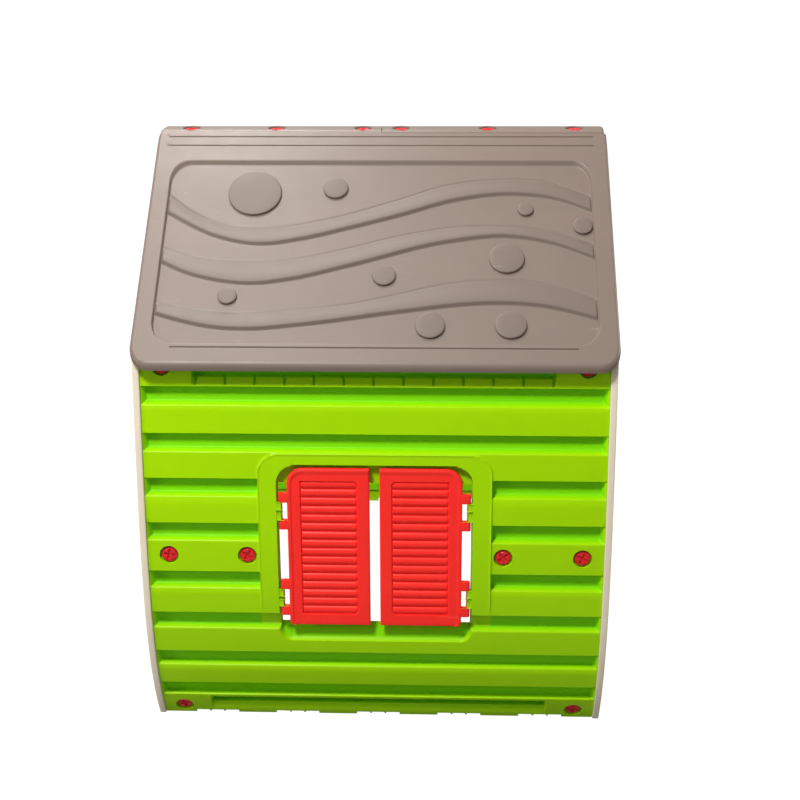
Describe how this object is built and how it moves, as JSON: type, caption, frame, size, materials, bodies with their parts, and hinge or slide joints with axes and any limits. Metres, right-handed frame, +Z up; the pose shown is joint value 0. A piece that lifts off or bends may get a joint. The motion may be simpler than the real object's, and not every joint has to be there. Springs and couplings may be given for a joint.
{
  "type": "plastic playhouse",
  "caption": "Moulded plastic playhouse: ribbed green side walls with red louvred shutters, beige gables with doorway and hatch, wavy taupe pitched roof.",
  "frame": {"origin": "on the ground under the middle of the house", "axes": "+Z up; X along the roof ridge, +X towards the gable with the half door; -Y faces the viewer who looks at the near side wall"},
  "size_m": [0.9, 1.0202, 1.098],
  "materials": {
    "wall_green": "satin moulded plastic",
    "roof_taupe": "satin moulded plastic",
    "gable_beige": "satin moulded plastic",
    "shutter_red": "satin moulded plastic",
    "screw_red": "semi-gloss moulded plastic",
    "pin_red": "semi-gloss moulded plastic"
  },
  "bodies": {
    "house": {"back_gable_wall": "gable_beige", "door_lower_pin": "pin_red", "door_upper_pin": "pin_red", "far_bottom_left_screw": "screw_red", "far_bottom_right_screw": "screw_red", "far_jamb_left_screw": "screw_red", "far_jamb_right_screw": "screw_red", "far_left_shutter_lower_pin": "pin_red", "far_left_shutter_upper_pin": "pin_red", "far_middle_left_screw": "screw_red", "far_middle_right_screw": "screw_red", "far_right_shutter_lower_pin": "pin_red", "far_right_shutter_upper_pin": "pin_red", "far_roof_panel": "roof_taupe", "far_side_wall": "wall_green", "far_top_left_screw": "screw_red", "far_top_right_screw": "screw_red", "front_gable_wall": "gable_beige", "near_bottom_left_screw": "screw_red", "near_bottom_right_screw": "screw_red", "near_jamb_left_screw": "screw_red", "near_jamb_right_screw": "screw_red", "near_left_shutter_lower_pin": "pin_red", "near_left_shutter_upper_pin": "pin_red", "near_middle_left_screw": "screw_red", "near_middle_right_screw": "screw_red", "near_right_shutter_lower_pin": "pin_red", "near_right_shutter_upper_pin": "pin_red", "near_roof_panel": "roof_taupe", "near_side_wall": "wall_green", "near_top_left_screw": "screw_red", "near_top_right_screw": "screw_red", "ridge_screw_1": "screw_red", "ridge_screw_2": "screw_red", "ridge_screw_3": "screw_red", "ridge_screw_4": "screw_red", "ridge_screw_5": "screw_red", "ridge_screw_6": "screw_red"},
    "near_left_shutter": {"near_left_shutter": "shutter_red"},
    "near_right_shutter": {"near_right_shutter": "shutter_red"},
    "far_left_shutter": {"far_left_shutter": "shutter_red"},
    "far_right_shutter": {"far_right_shutter": "shutter_red"},
    "half_door": {"half_door": "shutter_red"}
  },
  "joints": [
    {"name": "near_left_shutter_hinge", "type": "hinge", "parent": "house", "child": "near_left_shutter", "pos_m": [-0.176, -0.49795, 0.3], "axis": [0, -0.1193, -0.9929], "range_deg": [0, 100]},
    {"name": "near_right_shutter_hinge", "type": "hinge", "parent": "house", "child": "near_right_shutter", "pos_m": [0.176, -0.49795, 0.3], "axis": [0, 0.1193, 0.9929], "range_deg": [0, 100]},
    {"name": "far_left_shutter_hinge", "type": "hinge", "parent": "house", "child": "far_left_shutter", "pos_m": [0.176, 0.49795, 0.3], "axis": [0, 0.1193, -0.9929], "range_deg": [0, 100]},
    {"name": "far_right_shutter_hinge", "type": "hinge", "parent": "house", "child": "far_right_shutter", "pos_m": [-0.176, 0.49795, 0.3], "axis": [0, -0.1193, 0.9929], "range_deg": [0, 100]},
    {"name": "door_hinge", "type": "hinge", "parent": "house", "child": "half_door", "pos_m": [0.44, 0.178, 0], "axis": [0, 0, 1], "range_deg": [0, 110]}
  ]
}
